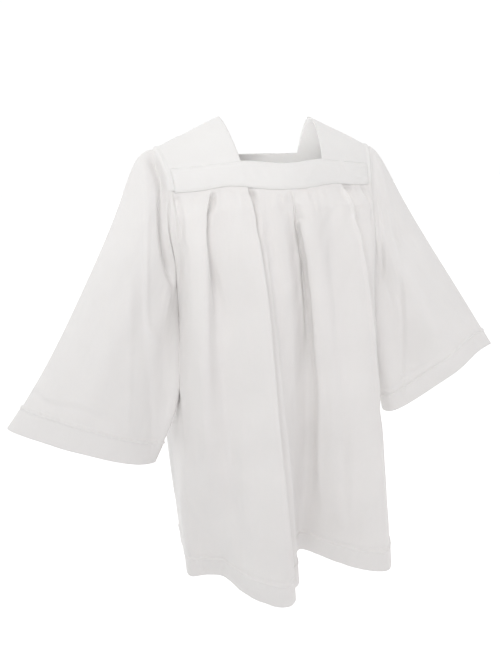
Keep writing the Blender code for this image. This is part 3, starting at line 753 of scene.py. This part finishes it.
def make_yoke(name, seam, neck_z, neck_x, faces_front, seed):
    """One half of the yoke, of doubled cloth: two straps and the strip below the neck."""
    low, high = yoke_columns(neck_x)
    base = yoke_surface(seam, neck_z, low, high)
    side = 1 if faces_front else -1
    outward = normals_of(base) * side
    from_right, from_top = run_across(base), run_down(base)
    width, height = from_right[:, -1:], from_top[-1:]
    push = seam_groove(from_top) + seam_groove(height - from_top)
    push += seam_groove(from_right) + seam_groove(width - from_right)
    push += seam_strip(from_right) + seam_strip(width - from_right)
    push += YOKE_WAVES * crumple(from_right, from_top, seed, 0.09, 0.07)
    grid = base + outward * np.maximum(push, -ROLL_LIMIT)[..., None]
    cells = np.ones((len(base) - 1, len(low) - 1), bool)
    strap = STRAP_CELLS + EDGE_COLUMNS - 1
    cells[:STRAP_ROWS, strap:-strap] = False
    piece = lay_cloth(name, grid, base, "yoke_cloth", DOUBLED_POPLIN, flip=not faces_front, cells=cells)
    if not faces_front:
        row = int(np.argmin(np.abs(height[0, len(low) // 2] - from_top[:, len(low) // 2] - 0.004)))
        thread("stitching_yoke_back", [(grid[row, 2:-2], outward[row, 2:-2])])
    return base, outward


def make_band(yoke, outward):
    """The topstitched strip over the yoke's lower edge. Its edges are turned under and softly rounded."""
    ends = slice(EDGE_COLUMNS, -EDGE_COLUMNS)
    lips = [yoke[-1:, ends] - np.array([0, 0, BAND_LIP * share]) for share in (0.33, 0.67, 1.0)]
    under = np.concatenate([yoke[STRAP_ROWS:, ends], *lips])
    facing = np.concatenate([outward[STRAP_ROWS:, ends], *[outward[-1:, ends]] * 3])
    from_right, from_top = run_across(under), run_down(under)
    to_end = np.minimum(from_right, from_right[:, -1:] - from_right)
    to_side = np.minimum(from_top[-1:] - from_top, to_end)
    to_edge = np.minimum(from_top, to_side)
    lift = BAND_GAP + BAND_CLOTH - BAND_SIDE_ROLL * (1 - ease(to_side / BAND_SIDE_ROLL_WIDTH))
    lift += BAND_WAVES * crumple(from_right, from_top, 31, 0.03, 0.05)
    top_roll = BAND_TOP_ROLL * (1 - ease(from_top / BAND_TOP_ROLL_WIDTH))
    lift -= top_roll + BAND_STITCH_PULL * bell(to_edge - BAND_STITCH, 0.0010)
    puckers = crumple(from_right, from_top, 32, 0.050, 0.008)
    puckers *= ease((from_right - 0.86 * from_right[:, -1:]) / 0.02)
    lift += BAND_PUCKERS * puckers * ease(to_edge / 0.006)
    grid = under + facing * lift[..., None]
    piece = lay_cloth("chest_band", grid, under, "yoke_cloth", BAND_CLOTH * 0.7)
    inner = from_top[:, 60]
    low = int(np.argmin(np.abs(inner[-1] - inner - BAND_STITCH)))
    high = int(np.argmin(np.abs(inner - BAND_STITCH)))
    end = int(np.argmin(np.abs(from_right[0] - BAND_STITCH)))
    lines = [(grid[row, end:-end], facing[row, end:-end]) for row in (high, low)]
    lines += [(grid[high:low, column], facing[high:low, column]) for column in (end, -1 - end)]
    thread("stitching_band", lines)


def small_gathers(place, depth, seed, count):
    """Uneven little pleats that fan out below a gathered seam, about 0 to 1 high."""
    rng = np.random.default_rng(seed)
    push = np.zeros(np.broadcast(place, depth).shape)
    for k in range(count):
        at = (k + 0.5 + rng.uniform(-0.32, 0.32)) / count
        lean = rng.uniform(-0.10, 0.10) / count
        height = rng.uniform(0.35, 1.0)
        reach = rng.uniform(0.018, 0.085)
        width = rng.uniform(0.20, 0.34) / count * (1 + depth / 0.07)
        push += height * bell(place - at - lean * depth / 0.02, width) * np.exp(-((depth / reach) ** 1.2))
    return push


def body_surface(folds, lines, seam, neck_x, depths):
    """The body panel's cloth before its creases, with more columns where the given lines run.

    Gives its points, and on each row each line's distance from the panel's right edge.
    """
    seam_y = seam(np.array([ARMHOLE_X]))[0, 1]
    levels = (SEAM_EDGE_Z, CHEST_Z, HIP_Z, HEM_Z)
    low, _ = yoke_columns(neck_x)
    line = seam(low)
    curves, runs, spots = [], [], []
    first = None
    for depth in depths:
        z = SEAM_EDGE_Z - depth
        points = [body_edge("right", z, seam_y)]
        points += [down_the_fold(levels, np.reshape(row, (4, 2)), z) for row in folds]
        points.append(body_edge("left", z, seam_y))
        plan = smooth_path(np.array(points), [FINE_CELLS] * (len(points) - 1))
        first = plan if first is None else first
        x = np.clip(first[:, 0], low[0], low[-1])
        top = np.column_stack([x, np.interp(x, low, line[:, 1]), np.interp(x, low, line[:, 2])])
        free = ease((depth - TUCKED) / FREED_OVER)
        row = np.column_stack([top[:, :2] * (1 - free) + plan * free, np.full(len(plan), z)])
        row[:, 2] += (top[:, 2] - SEAM_EDGE_Z) * np.clip(1 - depth / RISE_FADE, 0, 1)
        run = distances(row[:, :2])
        curves.append(row)
        runs.append(run)
        spots.append([distance_at(np.interp(depth, LINE_DEPTHS, places), run, row) for places in lines])
    spots = smooth_down(np.array(spots), depths)
    rows = []
    for row, run, at in zip(curves, runs, spots):
        density = 1 + LINE_DENSITY * sum(bell(run - spot, LINE_REACH) for spot in at)
        density += EDGE_DENSITY * (bell(run, EDGE_REACH) + bell(run[-1] - run, EDGE_REACH))
        count = np.concatenate([[0], np.cumsum((density[1:] + density[:-1]) / 2 * np.diff(run))])
        rows.append(points_at(np.interp(np.linspace(0, count[-1], BODY_COLUMNS), count, run), run, row))
    return np.array(rows), spots


def smooth_down(values, depths):
    """Values given on each row, evened out over a few centimetres of depth, less near the top."""
    width = 0.004 + 0.10 * np.minimum(depths, 0.25)
    weights = bell(depths[:, None] - depths[None, :], width[:, None])
    return weights @ values / weights.sum(axis=1, keepdims=True)


def folded_relief(grid, from_right, spots, depths, pleats, creases, pressed):
    """How far a body panel's pleats, soft creases and packing creases push its cloth out."""
    depth = depths[:, None]
    push = np.zeros(from_right.shape)
    for k, (lower, height, hollow, begin, end, *_) in enumerate(pleats):
        past = (from_right - spots[:, k : k + 1]) * lower
        push += between(depth, begin, end) * ledge(past, height, hollow * (1 + HOLLOW_SPREAD * depth))
    for half, height, begin, end, *places in creases:
        wanted = np.interp(depths, LINE_DEPTHS, places)
        found = [distance_at(x, run, row) for x, run, row in zip(wanted, from_right, grid)]
        centre = smooth_down(np.array(found)[:, None], depths)
        fade_in = SLOW_FADE_IN if begin > 0.1 else FADE_IN
        push += height * between(depth, begin, end, fade_in) * bell(from_right - centre, half)
    for x0, deep0, x1, deep1 in pressed:
        share = (grid[..., 0] - x0) / (x1 - x0)
        off = depth - deep0 - (deep1 - deep0) * share
        push += PRESSED_HEIGHT * bell(off, PRESSED_WIDTH) * ease(share / 0.2) * ease((1 - share) / 0.2)
    return push


def make_body(name, folds, pleats, creases, pressed, seam, neck_x, faces_front, seed):
    """A gathered panel from the yoke seam to the hem, with pleats, creases and a turned-up hem."""
    full = SEAM_EDGE_Z - HEM_Z
    sewn_at = full - BODY_HEM
    depths = even_steps((0, GATHERED, sewn_at - OVER_STITCHES, sewn_at + UNDER_STITCHES, full), BODY_ROWS)
    grid, spots = body_surface(folds, [row[5:] for row in pleats], seam, neck_x, depths)
    depth = depths[:, None]
    side = 1 if faces_front else -1
    outward = normals_of(grid) * side
    from_right = run_across(grid)
    width = from_right[:, -1:]
    sewn = ease((depth - TUCKED) / 0.010)
    faded = np.exp(-depth / GATHER_FADE)
    push = folded_relief(grid, from_right, spots, depths, pleats, creases, pressed)
    push *= 0.15 + 0.85 * sewn
    push += BODY_GATHER * sewn * (small_gathers(from_right / width, depth, seed, BODY_GATHERS) + 0.10 * faded)
    push += BROAD_WAVES * sewn * crumple(from_right, depth, seed + 1, 0.060, 0.26)
    push += FINE_WAVES * sewn * crumple(from_right, depth, seed + 2, 0.022, 0.070)
    wobble = 0.6 * crumple(from_right, depth, seed + 3, 0.012, 0.30)
    push += hem_relief(depth - sewn_at, wobble, BODY_HEM_GROOVE)
    push += GATHER_SWELL * ease((depth - BAND_LIP) / 0.0028) * faded
    push += seam_groove(depth)
    beside = np.minimum(from_right, width - from_right)
    push = push * ease(beside / 0.012) + seam_groove(beside)
    push += seam_strip(beside) * ease((SEAM_EDGE_Z - UNDERARM_Z - depth) / 0.10)
    grid = grid + outward * push[..., None]
    outward = normals_of(grid) * side
    hem_row = int(np.searchsorted(depths, sewn_at))
    whole = turned_up(grid, outward, len(depths) - hem_row)
    facing = np.concatenate([outward, np.repeat(outward[-1:], len(whole) - len(outward), axis=0)])
    whole = tucked_in(whole, facing, (0, -1, 1) if faces_front else (0,))
    piece = lay_cloth(name, whole, whole, "body_cloth", POPLIN, flip=not faces_front)
    thread(f"stitching_{name}", [(grid[hem_row, 1:-1], outward[hem_row, 1:-1])])


def armhole_ring(side):
    """An armhole as a closed ring on the left: down the front, round the underarm and up the back."""
    parts = []
    z = np.linspace(SEAM_EDGE_Z, UNDERARM_Z, 60)[1:]
    halves = ((front_seam, front_neck_z, NECK_FRONT_X), (back_seam, back_neck_z, NECK_BACK_X))
    for seam, neck_z, neck_x in halves:
        edge = yoke_surface(seam, neck_z, *yoke_columns(neck_x))[:, -1]
        down = np.column_stack([*armhole(side, z, edge[-1, 1]), z])
        parts.append(np.concatenate([edge, down]))
    front, back = parts
    return np.concatenate([front, back[-2::-1]])


def evenly(line):
    """Points spaced evenly round a closed line whose first and last points are the same."""
    run = distances(line)
    return points_at(np.linspace(0, run[-1], SLEEVE_COLUMNS, endpoint=False), run, line)


def cuff_ring(side):
    """The cuff's edge: a lens, pinched along the arm's line and under it, open in depth."""
    top, under = np.array(CUFF_TOP), np.array(CUFF_UNDER)
    turn = 2 * math.pi * np.arange(SLEEVE_COLUMNS) / SLEEVE_COLUMNS
    ring = (top + under) / 2 + np.cos(turn)[:, None] * (top - under) / 2
    depth = -CUFF_HALF_DEPTH * np.sign(np.sin(turn)) * np.abs(np.sin(turn)) ** CUFF_LENS
    ring[:, 1] += depth * (1 - CUFF_TAPER * np.cos(turn))
    ring[:, 2] += CUFF_LIFT[side] * np.clip(np.sin(turn), 0, 1) ** 2 * (1 + 0.5 * np.cos(turn))
    return ring


def off_place(centre):
    """Distance of each column from a place round the sleeve, the short way, as a share of its girth."""
    return np.abs((SLEEVE_PLACES - centre + 0.5) % 1 - 0.5)


def rows_for(table, side):
    return [row[1:] for row in table if row[0] == side]


def sleeve_surface(side):
    """The sleeve's cloth before its creases, as if on the left.

    Gives its points, the share of the length at each, and the armhole's points.
    """
    start = evenly(armhole_ring(side))
    end = cuff_ring(side)
    length = np.linalg.norm(end - start, axis=1)
    from_top, from_under = off_place(0), off_place(0.5)
    near_top = bell(from_top, TOP_WIDTH)
    start[:, 0] -= SLEEVE_LAP * (1 - 0.6 * near_top)
    beside = unit(start - start.mean(axis=0)) * np.array(SIDE_PUFF)
    above = np.array([PUFF[side], 0.0, HEAD_LIFT[side]])
    hem_share = 1 - (CUFF_HEM + 0.006) / length
    shares = [hem_share * s for s in even_steps((0, 0.10, 0.95, 1), SLEEVE_ROWS)]
    shares += [hem_share + (1 - hem_share) * s for s in even_steps((0, 0.30, 1), CUFF_ROWS)[1:]]
    grid = []
    for along in shares:
        points = start + (end - start) * along[:, None]
        swell = along / PUFF_AT * np.exp(1 - along / PUFF_AT)
        points += (swell * near_top)[:, None] * above
        points += (swell * (1 - near_top))[:, None] * beside
        sag = ARM_SAG[side] * np.sin(math.pi * along**SAG_TURN) * bell(from_top, SAG_WIDTH)
        points += sag[:, None] * np.array(SAG_WAY)
        points[:, 0] -= UNDER_SAG[side] * np.sin(math.pi * along) ** 2 * bell(from_under, UNDER_WIDTH)
        grid.append(points)
    return np.array(grid), np.array(shares), start


def sleeve_relief(side, grid, along, seed):
    """How far folds, creases, gathers, hem and seams push the sleeve's cloth out."""
    place = SLEEVE_PLACES
    from_seam = run_down(grid)
    full = from_seam[-1:]
    to_cuff = full - from_seam
    push = np.zeros(along.shape)
    for centre, width, at_head, at_middle, at_cuff in rows_for(SLEEVE_FOLDS, side):
        profile = at_head * (1 - along) ** 3 + at_middle * 4 * along * (1 - along) + at_cuff * along**2
        push += profile * bell(off_place(centre), width)
    for half, height, *line in rows_for(SLEEVE_CREASES, side):
        places, shares = np.array(line).T
        off = (along - np.interp(place, places, shares)) * full * CREASE_SLANT
        fade = ease((place - places[0] + 0.05) / 0.05) * ease((places[-1] + 0.08 - place) / 0.08)
        push += height * fade * bell(off, half)
    for half, height, first, last, above in rows_for(CUFF_CREASES, side):
        fade = ease((place - first + 0.03) / 0.06) * ease((last + 0.03 - place) / 0.06)
        push += height * fade * bell(to_cuff - above - 0.004 * np.sin(40 * place), half)
    around = place[None, :] * SLEEVE_GIRTH
    open_side = np.sin(math.pi * place) ** 0.5
    eased_in = bell(off_place(0), EASED_WIDTH)[None, :]
    gathers = small_gathers((place[None, :] + 0.5) % 1, from_seam, seed, SLEEVE_GATHERS)
    free = ease(from_seam / 0.006)
    push += SLEEVE_GATHER * eased_in * gathers * free
    push += BROAD_WAVES * crumple(around, from_seam, seed + 1, 0.08, 0.22) * open_side
    push += FINE_WAVES * crumple(around, from_seam, seed + 2, 0.024, 0.07) * open_side
    push *= free
    wobble = 0.8 * crumple(around, from_seam, seed + 3, 0.012, 0.30)
    push += hem_relief(CUFF_HEM - to_cuff, wobble, CUFF_HEM_GROOVE)
    return push + seam_groove(from_seam) + 0.6 * seam_groove(off_place(0.5)[None, :] * SLEEVE_GIRTH)


def make_sleeve(side, seed):
    """A bell sleeve from the armhole to the cuff, eased in at its head, with a turned-up hem."""
    grid, along, start = sleeve_surface(side)
    from_seam = run_down(grid)
    hem_row = 1 + int(np.argmin(np.abs(from_seam[-1, 50] - from_seam[:, 50] - CUFF_HEM)))
    push = sleeve_relief(side, grid, along, seed)
    grid = grid - normals_of(grid, ring=True) * push[..., None]
    outward = -normals_of(grid, ring=True)
    tight = grid[0] + (grid[1] - grid[0]) * 0.2
    grid, outward = np.insert(grid, 1, tight, axis=0), np.insert(outward, 1, outward[0], axis=0)
    inward = start.mean(axis=0) - start
    inside = start + inward * SEAM_ALLOWANCE / np.linalg.norm(inward, axis=1, keepdims=True)
    inside[:, 0] = start[:, 0]
    if side == "right":
        mirror = np.array([-1, 1, 1])
        grid, outward, inside = grid * mirror, outward * mirror, inside * mirror
    whole = np.concatenate([inside[None], turned_up(grid, outward, len(grid) - hem_row)])
    name = f"sleeve_{side}"
    piece = lay_cloth(name, whole, whole, "sleeve_cloth", POPLIN, ring=True, flip=side == "left")
    closed = [np.concatenate([part[hem_row], part[hem_row, :1]]) for part in (grid, outward)]
    thread(f"stitching_{name}", [tuple(closed)])


# The studio


def make_camera():
    right, up = Vector(EYE_RIGHT).normalized(), Vector(EYE_UP).normalized()
    back = right.cross(up)
    data = bpy.data.cameras.new("camera")
    data.sensor_width = 36
    data.lens = LENS_MM
    camera = put_in_scene("camera", data)
    camera.matrix_world = Matrix.Translation(EYE) @ Matrix((right, up, back)).transposed().to_4x4()
    bpy.context.scene.camera = camera


def make_lamp(name, place, aim, size, power, colour, spread):
    data = bpy.data.lights.new(name, "AREA")
    data.shape = "DISK"
    data.size = size
    data.energy = power
    data.color = colour
    data.spread = math.radians(spread)
    lamp = put_in_scene(name, data)
    lamp.location = place
    lamp.rotation_euler = (Vector(aim) - Vector(place)).to_track_quat("-Z", "Y").to_euler()


def parts_of(tree, output):
    """The X, Y and Z of a texture coordinate."""
    return add_node(tree, "SeparateXYZ", {0: add_node(tree, "TexCoord", {}).outputs[output]}).outputs


def soft_glow(tree, value, begin, end, low, high):
    """A strength that eases from low to high while the given value goes from begin to end."""
    span = {"Value": value, "From Min": begin, "From Max": end, "To Min": low, "To Max": high}
    glow = add_node(tree, "MapRange", span)
    glow.interpolation_type = "SMOOTHSTEP"
    return glow.outputs["Result"]


def make_studio():
    """A pale floor whose paint glows brighter behind as painted light, a surround that is brighter behind, and
    the lamps.

    The key is high in front of the wearer's right, the fill low on the left, and one lamp is in the neck.
    """
    glowing_paint, tree, shader = new_material("floor_with_painted_light")
    parts = parts_of(tree, "Object")
    slant = tree.nodes.new("ShaderNodeMath")
    slant.operation = "MULTIPLY_ADD"
    set_inputs(tree, slant, {0: parts["X"], 1: FLOOR_SLANT, 2: parts["Y"]})
    # Painted light: the floor's paint glows, brighter behind, in place of the studio light that falls on it
    glow = soft_glow(tree, slant.outputs[0], *FLOOR_GLOW)
    looks = {"Base Color": (0.88, 0.88, 0.88, 1), "Roughness": 0.9}
    set_inputs(tree, shader, looks | {"Emission Color": (1, 1, 1, 1), "Emission Strength": glow})
    bpy.ops.mesh.primitive_plane_add(size=FLOOR_SIZE, location=(0, 0, FLOOR_Z))
    floor = bpy.context.object
    floor.name = "floor"
    floor.data.materials.append(glowing_paint)
    for lamp in LAMPS:
        make_lamp(*lamp)
    world = bpy.data.worlds.new("surround")
    world.use_nodes = True
    tree = world.node_tree
    glow = soft_glow(tree, parts_of(tree, "Generated")["Y"], *SURROUND_GLOW)
    set_inputs(tree, tree.nodes["Background"], {"Color": (1, 1, 1, 1), "Strength": glow})
    bpy.context.scene.world = world
    bpy.context.scene.view_settings.view_transform = "Standard"


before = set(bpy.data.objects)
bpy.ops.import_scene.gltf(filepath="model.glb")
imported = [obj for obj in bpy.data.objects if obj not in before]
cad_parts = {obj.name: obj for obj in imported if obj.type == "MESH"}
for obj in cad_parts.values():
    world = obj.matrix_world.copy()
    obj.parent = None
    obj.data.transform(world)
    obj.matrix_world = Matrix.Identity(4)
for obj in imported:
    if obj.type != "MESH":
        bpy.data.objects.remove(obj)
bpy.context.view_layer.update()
make_camera()
poplins = {
    "yoke_cloth": poplin_material("yoke_poplin", YOKE_WHITE, 0),
    "body_cloth": poplin_material("body_poplin", BODY_WHITE, 3),
    "sleeve_cloth": poplin_material("sleeve_poplin", SLEEVE_WHITE, 7),
}
thread_material = plain_thread("white_thread", THREAD_WHITE)
yoke, yoke_outward = make_yoke("yoke_front", front_seam, front_neck_z, NECK_FRONT_X, True, 11)
make_yoke("yoke_back", back_seam, back_neck_z, NECK_BACK_X, False, 12)
make_band(yoke, yoke_outward)
front = (FRONT_FOLDS, FRONT_PLEATS, FRONT_CREASES, FRONT_PRESSED)
back = (BACK_FOLDS, BACK_PLEATS, BACK_CREASES, BACK_PRESSED)
make_body("body_front", *front, front_seam, NECK_FRONT_X, True, 21)
make_body("body_back", *back, back_seam, NECK_BACK_X, False, 22)
make_sleeve("left", 41)
make_sleeve("right", 51)
make_studio()
